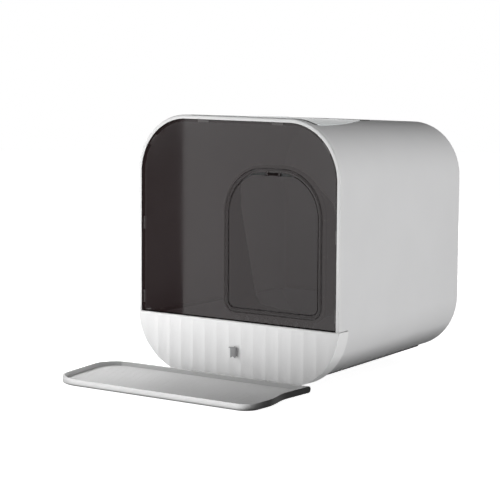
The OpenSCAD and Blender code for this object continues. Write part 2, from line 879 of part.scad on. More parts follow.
module mat_scallops() {
    r = pedal_back_r - pedal_rim - mat_gap;
    for (turn = [96 : 9 : 177])
        translate([-pedal_left + pedal_back_r + r * cos(turn), pedal_axis_y - pedal_back_r + r * sin(turn)])
            circle(r = mat_scallop_r, $fn = 24);
}

module pedal_mat() {
    grow = -pedal_rim - mat_gap;
    low = pedal_low + pedal_floor;
    back = pedal_axis_y - pedal_r - 1 - mat_gap;
    ribs = floor((pedal_d - 30) / mat_pitch);
    color("silver") intersection() {
        translate([0, 0, low]) linear_extrude(mat_t + mat_rib) difference() {
            offset(delta = grow) pedal_plan();
            mat_scallops();
        }
        union() {
            translate([-body_w, pedal_front, low]) cube([2 * body_w, back - pedal_front, mat_t]);
            for (i = [1 : ribs])
                translate([-body_w, back - i * mat_pitch, low]) cube([2 * body_w, 2.4, mat_t + mat_rib]);
        }
    }
}

module pedal_pins() {
    len = knuckle_w + 2 * boss_w;
    color("silver") for (x = [-knuckle_x, knuckle_x])
        translate([x - len / 2, pedal_axis_y, pedal_axis_z]) rotate([0, 90, 0])
            cylinder(d = pedal_pin_d, h = len);
}

// ---- top lid ----------------------------------------------------------------

module top_lid() {
    color("lightblue", 0.8) union() {
        difference() {
            intersection() {
                hood_solid(front_y, rear_y, -lid_proud);
                lid_prism(0);
            }
            hood_solid(front_y, rear_y, lid_t - lid_proud);
            translate([0, front_y + lid_start - 3, body_top - 30]) cylinder(r = 13, h = 60);
        }
        on_top() difference() {
            for (x = [-lid_ear_x, lid_ear_x]) translate([x - lid_ear_w / 2, 0, 0]) {
                translate([0, hinge_v, hinge_w]) rotate([0, 90, 0])
                    cylinder(d = lid_pin_d + 3.2, h = lid_ear_w);
                translate([0, lid_reach - 2, hinge_w + 2.2])
                    cube([lid_ear_w, hinge_v - lid_reach + 2, 2]);
            }
            translate([-box_half, hinge_v, hinge_w]) rotate([0, 90, 0])
                cylinder(d = lid_pin_d + 2 * run_fit, h = 2 * box_half);
        }
    }
}

hood_shell();
front_bezel();
lid_hinge_box();
lid_pin();
base_rails();
runner_left();
runner_right();
feet_front();
feet_rear();
foot_middle();
front_panel();
panel_clips();
door_frame();
entry_collar();
sill_grate();
collar_screws();
flap_pin();
entry_flap();
drawer_front();
drawer_pull();
litter_tray();
tray_screws();
pedal_brackets();
pedal_tray();
pedal_mat();
pedal_pins();
top_lid();
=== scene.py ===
import math

import bpy
from bpy.props import FloatProperty, FloatVectorProperty, PointerProperty
from mathutils import Matrix, Vector


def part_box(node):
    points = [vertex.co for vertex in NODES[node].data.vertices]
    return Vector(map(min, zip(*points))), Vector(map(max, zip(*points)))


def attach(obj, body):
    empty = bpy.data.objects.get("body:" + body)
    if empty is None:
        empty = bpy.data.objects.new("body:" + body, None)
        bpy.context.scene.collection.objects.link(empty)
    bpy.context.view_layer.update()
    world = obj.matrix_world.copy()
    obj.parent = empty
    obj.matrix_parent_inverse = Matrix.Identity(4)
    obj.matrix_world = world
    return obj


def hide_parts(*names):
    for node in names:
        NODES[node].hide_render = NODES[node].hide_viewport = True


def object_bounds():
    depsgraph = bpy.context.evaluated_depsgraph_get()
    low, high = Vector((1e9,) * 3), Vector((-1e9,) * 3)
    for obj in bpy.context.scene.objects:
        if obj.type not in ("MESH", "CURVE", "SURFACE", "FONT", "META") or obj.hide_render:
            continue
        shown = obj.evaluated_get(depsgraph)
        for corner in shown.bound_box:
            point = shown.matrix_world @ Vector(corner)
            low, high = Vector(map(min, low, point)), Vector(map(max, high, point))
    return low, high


bl_info = {
    "name": "Litter Box Dresser",
    "version": (1, 0, 0),
    "blender": (4, 5, 0),
    "location": "View3D > Sidebar > Litter Box",
    "description": "Dresses the packed litter box: shells, front, flap, drawer, pedal and lid",
    "category": "Object",
}

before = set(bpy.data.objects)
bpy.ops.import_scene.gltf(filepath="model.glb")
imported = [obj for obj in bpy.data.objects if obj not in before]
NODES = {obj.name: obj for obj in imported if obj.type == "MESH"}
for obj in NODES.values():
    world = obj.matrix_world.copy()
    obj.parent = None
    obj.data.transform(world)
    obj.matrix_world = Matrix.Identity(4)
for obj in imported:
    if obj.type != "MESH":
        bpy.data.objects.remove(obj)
CAD_BOX = [list(corner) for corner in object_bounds()]


# ---- places and sizes, in metres --------------------------------------------

# Places on the pieces
FRONT_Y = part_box("front_bezel")[0][1]               # foremost face of the frame and the drawer
LEDGE_Y = FRONT_Y + 0.003                           # the panel's ledge lies behind this
FRAME_INNER_Y = FRONT_Y + 0.005                     # painted shade: the frame's inner wall is dark up to this
FRAME_MIDDLE = Vector((0.0, 0.0, CAD_BOX[1][2] * 0.6))  # a point in the frame's opening
LID_FRONT_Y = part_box("top_lid")[0][1] + 0.02        # the lid's front wall lies before this
TRAY_RIM_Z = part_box("litter_tray")[1][2] - 0.0025   # foot of the tray's lip
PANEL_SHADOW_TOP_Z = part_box("front_panel")[0][2] + 0.002  # painted shadow: the panel's foot is black up to this, for the shaded gap above the drawer
FLAP_BARREL_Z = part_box("entry_flap")[1][2] - 0.0061  # just below the flap's hinge barrel
PEDAL_RIGHT_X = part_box("pedal_tray")[1][0]
PEDAL_SIDE_X = PEDAL_RIGHT_X - 0.031                # the front right corner lies beyond this
PEDAL_CORNER = PEDAL_RIGHT_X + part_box("pedal_tray")[0][1]
PEDAL_SHADE_RANGE = (PEDAL_CORNER - 0.002, PEDAL_CORNER + 0.06)  # X + Y where the painted shade on the pedal's side starts and where it is full

# How a smooth-shaded copy of a node is made
MERGE = 0.00002           # points nearer than this become one
FLAT_ANGLE = 0.05         # degrees within which faces join into one flat face
ROUND_ANGLE = 40.0        # degrees from which an edge is rounded
SMOOTH_ANGLE = 30.0       # degrees up to which shading runs on over an edge
SMOOTH_WEIGHT = 50        # how far a broad face keeps its own direction
ROUND_STEPS = 2
SAME_PLANE = 0.00003      # a point this near a plane lies on it
FLUTE_EDGE = 0.01         # least height of an edge between two flutes

# Roundings, and dark borders round the clear plates
UNROUNDED = 0.0
COLLAR_ROUND = 0.0005
BRACKET_ROUND = 0.0004
PEDAL_ROUND = 0.001
PANEL_BORDER = 0.0016
RING_BORDER = 0.0012
FLAP_BORDER = 0.002

# How squarely a face points along an axis: the part of its normal that lies along it
SQUARE = 0.99
NEARLY_SQUARE = 0.9
MOSTLY = 0.6
HALF = 0.5
PARTLY = 0.3
SLIGHTLY = 0.1


# ---- user settings ----------------------------------------------------------

def colour(name, description, default):
    return FloatVectorProperty(name=name, description=description, subtype="COLOR", size=4,
                               min=0.0, max=1.0, default=(*default, 1.0))


def share(name, description, default):
    return FloatProperty(name=name, description=description, default=default,
                         min=0.0, max=1.0, subtype="FACTOR")


class ShellSettings(bpy.types.PropertyGroup):
    """Colours of the white and grey plastics, and of the painted shade on some of them"""

    hood: colour("Hood", "Satin white of the hood", (0.8, 0.8, 0.805))
    bezel: colour("Bezel", "Polished white of the front frame", (0.8, 0.8, 0.8))
    drawer: colour("Drawer", "Satin white of the drawer front", (0.91, 0.91, 0.91))
    inside: colour("Inside", "Off-white of the tray and its runners", (0.7, 0.715, 0.73))
    pull: colour("Pull", "Grey of the drawer pull", (0.31, 0.31, 0.315))
    pedal: colour("Pedal", "Light grey of the pedal", (0.54, 0.54, 0.54))
    mat: colour("Mat", "Grey of the pedal's mat", (0.55, 0.55, 0.55))
    # also the painted shade on the frame's ledge and inner wall and on the lid's front wall
    trim_and_shade: colour("Trim", "Dark grey of the rails and the hinge box", (0.03, 0.03, 0.03))
    # partly their own grey, partly painted shade inside the entry
    collar: colour("Collar", "Dark grey of the collar and its sill", (0.06, 0.062, 0.068))
    # painted shade: the pedal's right side is dark from shade, not from its plastic
    side_shade_colour: colour("Pedal side", "Dark grey of the pedal's right side", (0.012, 0.012, 0.012))
    edge_round: FloatProperty(name="Edge round", description="Rounding of the pull's edges",
                              default=0.0007, min=0.0002, max=0.002, unit="LENGTH")


class ClearSettings(bpy.types.PropertyGroup):
    """Tint of the clear plastics"""

    smoke: colour("Smoke", "Tint of the smoked panel and flap", (0.023, 0.0145, 0.015))
    smoke_cover: share("Smoke density", "How much the smoked panel hides", 0.76)
    flap_cover: share("Flap density", "How much the entry flap hides", 0.65)
    ring_cover: share("Ring density", "How much the door frame hides", 0.6)
    lid: colour("Lid", "Tint of the top lid", (0.92, 0.99, 1.0))
    lid_cover: share("Lid density", "How much the top lid hides", 0.9)


class StageSettings(bpy.types.PropertyGroup):
    """Camera, floor and light"""

    lens: FloatProperty(name="Lens", description="Focal length on a 36 mm sensor",
                        default=135.55, min=20.0, max=300.0)
    key: FloatProperty(name="Key light", description="Power of the key light",
                       default=18.0, min=0.0, max=500.0, unit="POWER")
    side: FloatProperty(name="Side light", description="Power of the light from the right",
                        default=33.5, min=0.0, max=500.0, unit="POWER")
    low: FloatProperty(name="Low light", description="Power of the low light to the left",
                       default=0.62, min=0.0, max=500.0, unit="POWER")
    bounce: FloatProperty(name="Bounce", description="Power of the light off the floor in front",
                          default=10.4, min=0.0, max=500.0, unit="POWER")
    apron: FloatProperty(name="Apron", description="Power of the light off the floor nearby",
                         default=5.4, min=0.0, max=500.0, unit="POWER")
    rear: FloatProperty(name="Rear light", description="Power of the light from behind",
                        default=35.0, min=0.0, max=500.0, unit="POWER")
    world: FloatProperty(name="World", description="Strength of the light all round",
                         default=0.07, min=0.0, max=3.0)


# ---- materials --------------------------------------------------------------

class Shader:
    """A node material with one Principled shader"""

    def __init__(self, name):
        self.material = bpy.data.materials.new(name)
        self.material.use_nodes = True
        self.tree = self.material.node_tree
        self.principled = self.tree.nodes["Principled BSDF"]

    def node(self, kind, **settings):
        made = self.tree.nodes.new(kind)
        for key, value in settings.items():
            if key in made.inputs:
                made.inputs[key].default_value = value
            else:
                setattr(made, key, value)
        return made

    def link(self, source, target):
        self.tree.links.new(source, target)

    def set(self, **values):
        for key, value in values.items():
            self.principled.inputs[key.replace("_", " ")].default_value = value

    def place(self):
        """Object coordinates"""
        return self.node("ShaderNodeTexCoord").outputs["Object"]

    def noise(self, scale, detail=2.0):
        made = self.node("ShaderNodeTexNoise", Scale=scale, Detail=detail)
        self.link(self.place(), made.inputs["Vector"])
        return made.outputs["Fac"]

    def ramp(self, source, low, high, at=(0.0, 1.0)):
        made = self.node("ShaderNodeValToRGB")
        for element, spot, value in zip(made.color_ramp.elements, at, (low, high)):
            element.position = spot
            element.color = (*value[:3], 1.0)
        self.link(source, made.inputs["Fac"])
        return made.outputs["Color"]

    def spread(self, source, low, high):
        made = self.node("ShaderNodeMapRange")
        made.inputs["To Min"].default_value = low
        made.inputs["To Max"].default_value = high
        self.link(source, made.inputs["Value"])
        return made.outputs["Result"]

    def bump(self, height, strength, distance):
        made = self.node("ShaderNodeBump", Strength=strength, Distance=distance)
        self.link(height, made.inputs["Height"])
        self.link(made.outputs["Normal"], self.principled.inputs["Normal"])


def shade(base, factor):
    """A lighter or darker tone of a colour"""
    return tuple(min(1.0, channel * factor) for channel in base[:3])


PEDAL_GRAIN = {"grain": 1400.0, "grain_depth": 0.00005}    # noise scale, and metres
BEZEL_GRAIN = {"grain": 400.0, "grain_depth": 0.00001}
# near white of the painted highlight on the drawer's top bevel
HIGHLIGHT_WHITE = (0.98, 0.98, 0.98)
# black of the painted shadow at the panel's foot
FOOT_SHADOW_BLACK = (0.006, 0.005, 0.005, 1.0)


def moulded_plastic(name, base, rough, grain=900.0, grain_depth=0.00002, gloss=0.5):
    """Moulded plastic: a fine grain, faint cloudiness and uneven gloss"""
    s = Shader(name)
    cloud = s.noise(9.0, 3.0)
    s.link(s.ramp(cloud, shade(base, 0.985), shade(base, 1.015), (0.3, 0.7)),
           s.principled.inputs["Base Color"])
    s.link(s.spread(s.noise(40.0, 2.0), rough - 0.03, rough + 0.03),
           s.principled.inputs["Roughness"])
    s.bump(s.noise(grain, 2.0), 0.25, grain_depth)
    s.set(IOR=1.49, Specular_IOR_Level=gloss)
    return s.material


def object_axes(tree):
    """The X, Y and Z of the Object coordinates, one socket each"""
    spot = tree.nodes.new("ShaderNodeTexCoord")
    split = tree.nodes.new("ShaderNodeSeparateXYZ")
    tree.links.new(spot.outputs["Object"], split.inputs[0])
    return split.outputs


def shade_painted_plastic(name, base, dark, rough, start, end):
    """Grained plastic with painted shade: it turns dark between two places, to the right and the
    rear
    """
    material = moulded_plastic(name, base, rough, **PEDAL_GRAIN, gloss=0.15)
    tree = material.node_tree
    base_socket = tree.nodes["Principled BSDF"].inputs["Base Color"]
    plain = base_socket.links[0].from_socket
    axes = object_axes(tree)
    fade = tree.nodes.new("ShaderNodeMapRange")
    fade.interpolation_type = "SMOOTHSTEP"
    fade.inputs["From Min"].default_value = start
    fade.inputs["From Max"].default_value = end
    along = tree.nodes.new("ShaderNodeMath")
    for axis, socket in zip("XY", along.inputs):
        tree.links.new(axes[axis], socket)
    tree.links.new(along.outputs[0], fade.inputs["Value"])
    mix = tree.nodes.new("ShaderNodeMix")
    mix.data_type = "RGBA"
    tree.links.new(fade.outputs["Result"], mix.inputs["Factor"])
    tree.links.new(plain, mix.inputs["A"])
    mix.inputs["B"].default_value = (*dark[:3], 1.0)
    tree.links.new(mix.outputs["Result"], base_socket)
    return material


def painted_foot_shadow(material, height):
    """Paints a black shadow on a clear plastic below a height, for the shaded gap at its foot"""
    tree = material.node_tree
    axes = object_axes(tree)
    below = tree.nodes.new("ShaderNodeMath")
    below.operation = "LESS_THAN"
    below.inputs[1].default_value = height
    tree.links.new(axes["Z"], below.inputs[0])
    shader = tree.nodes["Principled BSDF"]
    black = tree.nodes.new("ShaderNodeBsdfDiffuse")
    black.inputs["Color"].default_value = FOOT_SHADOW_BLACK
    shown = choose(tree, below.outputs[0], shader.outputs[0], black.outputs[0])
    tree.links.new(shown, tree.nodes["Material Output"].inputs["Surface"])
    return material


def clear_plastic(name, base, cover, rough=0.04, ior=1.7):
    """Polished tinted plastic that shows what lies behind it"""
    s = Shader(name)
    s.link(s.ramp(s.noise(6.0, 1.0), shade(base, 0.96), shade(base, 1.04), (0.3, 0.7)),
           s.principled.inputs["Base Color"])
    s.link(s.spread(s.noise(25.0, 2.0), rough * 0.8, rough * 1.2),
           s.principled.inputs["Roughness"])
    s.bump(s.noise(14.0, 1.0), 0.05, 0.00004)
    s.set(Alpha=cover, IOR=ior)
    return s.material


def steel(name):
    """Plain steel for pins and screws"""
    s = Shader(name)
    s.link(s.ramp(s.noise(300.0, 3.0), (0.42, 0.42, 0.43), (0.55, 0.55, 0.56)),
           s.principled.inputs["Base Color"])
    s.link(s.spread(s.noise(500.0, 3.0), 0.22, 0.36), s.principled.inputs["Roughness"])
    s.set(Metallic=1.0)
    return s.material


def rubber(name):
    """Black rubber for the feet"""
    s = Shader(name)
    s.link(s.ramp(s.noise(200.0, 3.0), (0.018, 0.018, 0.018), (0.03, 0.03, 0.03)),
           s.principled.inputs["Base Color"])
    s.bump(s.noise(1500.0, 2.0), 0.4, 0.00004)
    s.set(Roughness=0.7)
    return s.material


_finishes = {}


def finish(name):
    """The named finish, made once from the settings"""
    if name in _finishes:
        return _finishes[name]
    shell = bpy.context.scene.litter_shell
    clear = bpy.context.scene.litter_clear
    makers = {
        "hood": lambda: moulded_plastic("satin_white_hood", shell.hood, 0.6, gloss=0.02),
        "bezel": lambda: moulded_plastic("polished_white_bezel", shell.bezel, 0.45,
                                        **BEZEL_GRAIN, gloss=0.25),
        # painted highlight: a brighter, glossier white for the drawer's top bevel
        "rim": lambda: moulded_plastic("bright_rim", HIGHLIGHT_WHITE, 0.25, gloss=1.0),
        "drawer": lambda: moulded_plastic("satin_white_drawer", shell.drawer, 0.45, gloss=0.3),
        "inside": lambda: moulded_plastic("off_white_tray", shell.inside, 0.45),
        "pull": lambda: moulded_plastic("grey_pull", shell.pull, 0.35),
        "pedal": lambda: moulded_plastic("grained_grey_pedal", shell.pedal, 0.5, **PEDAL_GRAIN),
        "mat": lambda: moulded_plastic("grained_grey_mat", shell.mat, 0.6, **PEDAL_GRAIN,
                                       gloss=0.3),
        # painted shade on the pedal's right wall, darker towards the right rear
        "pedal_painted_shade": lambda: shade_painted_plastic("dark_pedal_side", shell.pedal, shell.side_shade_colour, 0.5,
                                             *PEDAL_SHADE_RANGE),
        # dark grey, partly painted shade inside the entry
        "collar": lambda: moulded_plastic("dark_grey_collar", shell.collar, 0.45),
        "trim_and_shade": lambda: moulded_plastic("dark_trim", shell.trim_and_shade, 0.5, gloss=0.3),
        "edge": lambda: moulded_plastic("smoked_cut_edge", shade(clear.smoke, 0.3), 0.7,
                                        gloss=0.05),
        # the smoked panel carries a painted shadow along its foot
        "smoked": lambda: painted_foot_shadow(
            clear_plastic("smoked_acrylic", clear.smoke, clear.smoke_cover), PANEL_SHADOW_TOP_Z),
        "flap": lambda: clear_plastic("smoked_flap_acrylic", clear.smoke, clear.flap_cover),
        "clear_back": lambda: clear_plastic("smoked_acrylic_back", clear.smoke, 0.06, 0.3, 1.1),
        "ring": lambda: clear_plastic("smoked_ring_acrylic", clear.smoke, clear.ring_cover),
        "lid": lambda: clear_plastic("pale_blue_clear", clear.lid, clear.lid_cover, 0.2, 1.49),
        "steel": lambda: steel("plain_steel"),
        "rubber": lambda: rubber("foot_rubber"),
    }
    _finishes[name] = makers[name]()
    return _finishes[name]


# ---- modelling helpers ------------------------------------------------------

def deselect():
    bpy.ops.object.select_all(action="DESELECT")


def select_only(obj):
    deselect()
    obj.select_set(True)
    bpy.context.view_layer.objects.active = obj


def dress(node, finish_name):
    """Gives a CAD node its finish"""
    obj = NODES[node]
    for slot in obj.material_slots:
        slot.material = finish(finish_name)


def shell_copy(node, name):
    """A merged copy of a CAD node, ready to be smoothed and rounded"""
    source = NODES[node]
    made = bpy.data.objects.new(name, source.data.copy())
    bpy.context.scene.collection.objects.link(made)
    made.data.materials.clear()
    select_only(made)
    bpy.ops.mesh.customdata_custom_splitnormals_clear()
    bpy.ops.object.mode_set(mode="EDIT")
    bpy.ops.mesh.select_all(action="SELECT")
    bpy.ops.mesh.remove_doubles(threshold=MERGE)
    bpy.ops.mesh.dissolve_limited(angle_limit=math.radians(FLAT_ANGLE))
    bpy.ops.object.mode_set(mode="OBJECT")
    return made


def round_edges(obj, width):
    """Rounds the sharp edges with an applied bevel"""
    select_only(obj)
    made = obj.modifiers.new("round", "BEVEL")
    made.width = width
    made.segments = ROUND_STEPS
    made.limit_method = "ANGLE"
    made.angle_limit = math.radians(ROUND_ANGLE)
    made.harden_normals = False
    made.use_clamp_overlap = True
    made.miter_outer = "MITER_ARC"
    bpy.ops.object.modifier_apply(modifier=made.name)


def smooth(obj):
    """Smooth shading in which a broad flat face keeps its own direction"""
    select_only(obj)
    bpy.ops.object.shade_smooth_by_angle(angle=math.radians(SMOOTH_ANGLE))
    made = obj.modifiers.new("weigh", "WEIGHTED_NORMAL")
    made.keep_sharp = True
    made.weight = SMOOTH_WEIGHT
    bpy.ops.object.modifier_apply(modifier=made.name)


def crease(obj, wanted):
    """Keeps the edges that pass the test sharp"""
    points = obj.data.vertices
    for edge in obj.data.edges:
        if wanted([points[i].co for i in edge.vertices]):
            edge.use_edge_sharp = True


def is_flute_edge(ends):
    """An upright edge on the foremost face, between two flutes"""
    return (all(abs(end.y - FRONT_Y) < SAME_PLANE for end in ends)
            and abs(ends[0].z - ends[1].z) > FLUTE_EDGE)


def more_finish(obj, finish_name, wanted):
    """Gives the faces that pass the test one more finish"""
    obj.data.materials.append(finish(finish_name))
    for face in obj.data.polygons:
        if wanted(face):
            face.material_index = len(obj.data.materials) - 1


def is_cut_edge(face):
    """An edge of an upright plate"""
    return abs(face.normal.y) < MOSTLY


def is_rear(face):
    """The rear of an upright plate"""
    return face.normal.y > MOSTLY


def is_flap_edge(face):
    """An edge of the flap, or a part of its hinge barrel"""
    return is_cut_edge(face) or face.center.z > FLAP_BARREL_Z


def is_ledge(face):
    """The ledge behind the panel"""
    return face.normal.y < -NEARLY_SQUARE and face.center.y > LEDGE_Y


def is_frame_inside(face):
    """The ledge, or the frame's inner wall in front of it"""
    inward = face.normal.dot(face.center - FRAME_MIDDLE) < 0
    return is_ledge(face) or (is_cut_edge(face) and inward and face.center.y < FRAME_INNER_Y)


def is_top_bevel(face):
    """The bevel along the top of the drawer's front"""
    return face.normal.z > PARTLY and face.normal.y < -PARTLY


def is_tray_rim(face):
    """The lip round the top of the tray"""
    return face.center.z > TRAY_RIM_Z


def is_outer_right(face):
    """A face on the pedal's upright outer wall, at the front right or the right"""
    return (face.normal.x > SLIGHTLY and abs(face.normal.z) < HALF
            and face.center.x > PEDAL_SIDE_X)


def is_lid_front(face):
    """The front wall of the lid"""
    return face.normal.y < -HALF and face.center.y < LID_FRONT_Y


def dark_border(obj, width):
    """Darkens a border round the front face; the second finish is the dark one"""
    select_only(obj)
    for face in obj.data.polygons:
        face.select = face.normal.y < -SQUARE
    bpy.ops.object.mode_set(mode="EDIT")
    bpy.ops.mesh.inset(thickness=width, depth=0.0)
    bpy.ops.object.mode_set(mode="OBJECT")
    for face in obj.data.polygons:
        if face.normal.y < -SQUARE and not face.select:
            face.material_index = 1


def place(obj, body, finish_name, replaced):
    """Finishes a piece: its material, its body and the nodes it stands for"""
    obj.data.materials.clear()
    obj.data.materials.append(finish(finish_name))
    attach(obj, body)
    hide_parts(*replaced)


def moulded_copy(node, body, finish_name, width=None, sharp=None):
    """Stands a smooth-shaded copy in for a CAD node, rounded by the width or as the settings say"""
    made = shell_copy(node, node + "_moulded")
    if sharp:
        crease(made, sharp)
    if width is None:
        width = bpy.context.scene.litter_shell.edge_round
    if width:
        round_edges(made, width)
    smooth(made)
    place(made, body, finish_name, (node,))
    return made


# ---- pieces -----------------------------------------------------------------

class LITTER_OT_hood(bpy.types.Operator):
    """Makes the hood shell, its front frame and what is fixed to them"""

    bl_idname = "litter.hood"
    bl_label = "Hood"

    def execute(self, context):
        moulded_copy("hood_shell", "hood", "hood", UNROUNDED)
        bezel = moulded_copy("front_bezel", "hood", "bezel", UNROUNDED)
        # painted shade: the frame's ledge and inner wall get the dark trim, for the shaded groove
        # round the panel
        more_finish(bezel, "trim_and_shade", is_frame_inside)
        moulded_copy("lid_hinge_box", "hood", "trim_and_shade")
        moulded_copy("base_rails", "hood", "trim_and_shade", UNROUNDED)
        for node in ("runner_left", "runner_right"):
            dress(node, "inside")
        for node in ("feet_front", "feet_rear", "foot_middle"):
            dress(node, "rubber")
        dress("lid_pin", "steel")
        return {"FINISHED"}


class LITTER_OT_front(bpy.types.Operator):
    """Makes the smoked panel, its clips, the door frame, the collar and the sill"""

    bl_idname = "litter.front"
    bl_label = "Front panel and entry"

    def execute(self, context):
        panel = moulded_copy("front_panel", "front_unit", "smoked", UNROUNDED)
        ring = moulded_copy("door_frame", "front_unit", "ring", UNROUNDED)
        for piece in (panel, ring):
            more_finish(piece, "edge", is_cut_edge)
            more_finish(piece, "clear_back", is_rear)
        dark_border(panel, PANEL_BORDER)
        dark_border(ring, RING_BORDER)
        # the collar and sill carry painted shade in their dark grey
        for node in ("entry_collar", "sill_grate"):
            moulded_copy(node, "front_unit", "collar", COLLAR_ROUND)
        dress("panel_clips", "drawer")
        dress("collar_screws", "steel")
        dress("flap_pin", "edge")
        return {"FINISHED"}


class LITTER_OT_flap(bpy.types.Operator):
    """Makes the swinging entry flap"""

    bl_idname = "litter.flap"
    bl_label = "Entry flap"

    def execute(self, context):
        flap = moulded_copy("entry_flap", "flap", "flap", UNROUNDED)
        more_finish(flap, "edge", is_flap_edge)
        more_finish(flap, "clear_back", is_rear)
        dark_border(flap, FLAP_BORDER)
        return {"FINISHED"}


class LITTER_OT_drawer(bpy.types.Operator):
    """Makes the drawer front, its pull, the litter tray and the pedal's brackets"""

    bl_idname = "litter.drawer"
    bl_label = "Drawer"

    def execute(self, context):
        front = moulded_copy("drawer_front", "drawer", "drawer", UNROUNDED,
                             sharp=is_flute_edge)
        # painted highlight along the drawer's top bevel
        more_finish(front, "rim", is_top_bevel)
        moulded_copy("drawer_pull", "drawer", "pull")
        tray = moulded_copy("litter_tray", "drawer", "inside", UNROUNDED)
        # painted shade: the tray's lip is painted the pull's grey, for the dark line along its top
        more_finish(tray, "pull", is_tray_rim)
        moulded_copy("pedal_brackets", "drawer", "pedal", BRACKET_ROUND)
        dress("tray_screws", "steel")
        return {"FINISHED"}


class LITTER_OT_pedal(bpy.types.Operator):
    """Makes the pedal dish and its mat"""

    bl_idname = "litter.pedal"
    bl_label = "Pedal"

    def execute(self, context):
        tray = moulded_copy("pedal_tray", "pedal", "pedal", PEDAL_ROUND)
        # painted shade on the pedal's outer right wall, darker towards the right rear
        more_finish(tray, "pedal_painted_shade", is_outer_right)
        moulded_copy("pedal_mat", "pedal", "mat", UNROUNDED)
        dress("pedal_pins", "steel")
        return {"FINISHED"}


class LITTER_OT_lid(bpy.types.Operator):
    """Makes the tinted lid in the top"""

    bl_idname = "litter.lid"
    bl_label = "Top lid"

    def execute(self, context):
        lid = moulded_copy("top_lid", "lid", "lid", UNROUNDED)
        # painted shade: the lid's front wall gets the dark trim, for the shaded seam in front of
        # the lid
        more_finish(lid, "trim_and_shade", is_lid_front)
        return {"FINISHED"}


# ---- stage ------------------------------------------------------------------

# In metres, where no comment says otherwise
CAMERA_AT = Vector((1.8616, -2.7651, 0.5956))
CAMERA_YAW = math.radians(35.6571)
CAMERA_PITCH = math.radians(6.6689)
CAMERA_ROLL = math.radians(0.3395)
SENSOR = 36.0             # millimetres
FLOOR_RADIUS = 6.0
FLOOR_SIDES = 96
FLOOR_BOUNCE = 0.12       # how pale the floor is to the light it sends back
FLOOR_PALE = 0.9          # how pale it is to the camera, before its glow
FLOOR_LIFT = 0.96         # glow that brings the floor up to white
CARD_BLACK = (0.01, 0.01, 0.01, 1.0)

# The dark card: X and Y of its near and far corner, its width, height and lift off the floor
CARD_NEAR = (-0.115, -0.216)
CARD_FAR = (-1.65, -2.2)
CARD_WIDE = 3.0
CARD_HIGH = 1.0
CARD_LIFT = 0.0003

# The flag: its X, then Y and height at its front and at its rear
FLAG_X = 0.45
FLAG_FRONT = (-0.45, 0.058)
FLAG_REAR = (0.5, 0.074)

# The lamps: place, aim, width and height; the two that lie on the floor shine up
LAMP_LIFT = 0.002
LAMPS = {
    "key": ((-1.3, -2.0, 0.85), (-0.05, -0.25, 0.2), 1.2, 1.0),
    "side": ((2.4, 0.0, 0.26), (0.1, 0.0, 0.24), 1.2, 0.4),
    "low": ((-0.8, -0.28, 0.45), (-0.25, -0.3, 0.0), 0.3, 0.3),
    "bounce": ((-0.55, -1.15, LAMP_LIFT), (-0.55, -1.15, 1.0), 1.5, 1.4),
    "apron": ((-0.3, -0.76, LAMP_LIFT), (-0.3, -0.76, 1.0), 1.2, 0.698),
    "rear": ((-1.9, 1.6, 0.7), (-0.1, 0.1, 0.22), 1.2, 0.8),
}
UNMIRRORED_LAMPS = ("bounce", "apron", "rear")     # not seen in gloss
LOW_SPREAD = 50.0                                  # degrees


def any_ray(tree, *kinds):
    """1 for the rays of the named kinds"""
    paths = tree.nodes.new("ShaderNodeLightPath")
    total = paths.outputs[kinds[0]]
    for kind in kinds[1:]:
        step = tree.nodes.new("ShaderNodeMath")
        step.operation = "MAXIMUM"
        tree.links.new(total, step.inputs[0])
        tree.links.new(paths.outputs[kind], step.inputs[1])
        total = step.outputs[0]
    return total


def choose(tree, fac, otherwise, chosen):
    """One shader where fac is 0 and another where it is 1"""
    mix = tree.nodes.new("ShaderNodeMixShader")
    tree.links.new(fac, mix.inputs["Fac"])
    tree.links.new(otherwise, mix.inputs[1])
    tree.links.new(chosen, mix.inputs[2])
    return mix.outputs[0]


def white_to_camera(tree, plain):
    """Shows white to the camera, in gloss and through clear plastic, else the plain shader"""
    white = tree.nodes.new("ShaderNodeBackground")
    white.inputs["Color"].default_value = (1.0, 1.0, 1.0, 1.0)
    white.inputs["Strength"].default_value = 1.0
    seen = any_ray(tree, "Is Camera Ray", "Is Glossy Ray", "Is Transmission Ray")
    return choose(tree, seen, plain, white.outputs[0])


def aim(obj, at, target):
    """Stands an object at a place and turns its -Z to the target"""
    toward = (Vector(target) - Vector(at)).normalized()
    turn = toward.to_track_quat("-Z", "Y").to_matrix().to_4x4()
    obj.matrix_world = Matrix.Translation(at) @ turn


def soft_light(name, at, target, width, height, power):
    """A rectangular area lamp"""
    lamp = bpy.data.lights.new(name, "AREA")
    lamp.shape = "RECTANGLE"
    lamp.size = width
    lamp.size_y = height
    lamp.energy = power
    obj = bpy.data.objects.new(name, lamp)
    bpy.context.scene.collection.objects.link(obj)
    aim(obj, at, target)
    return obj


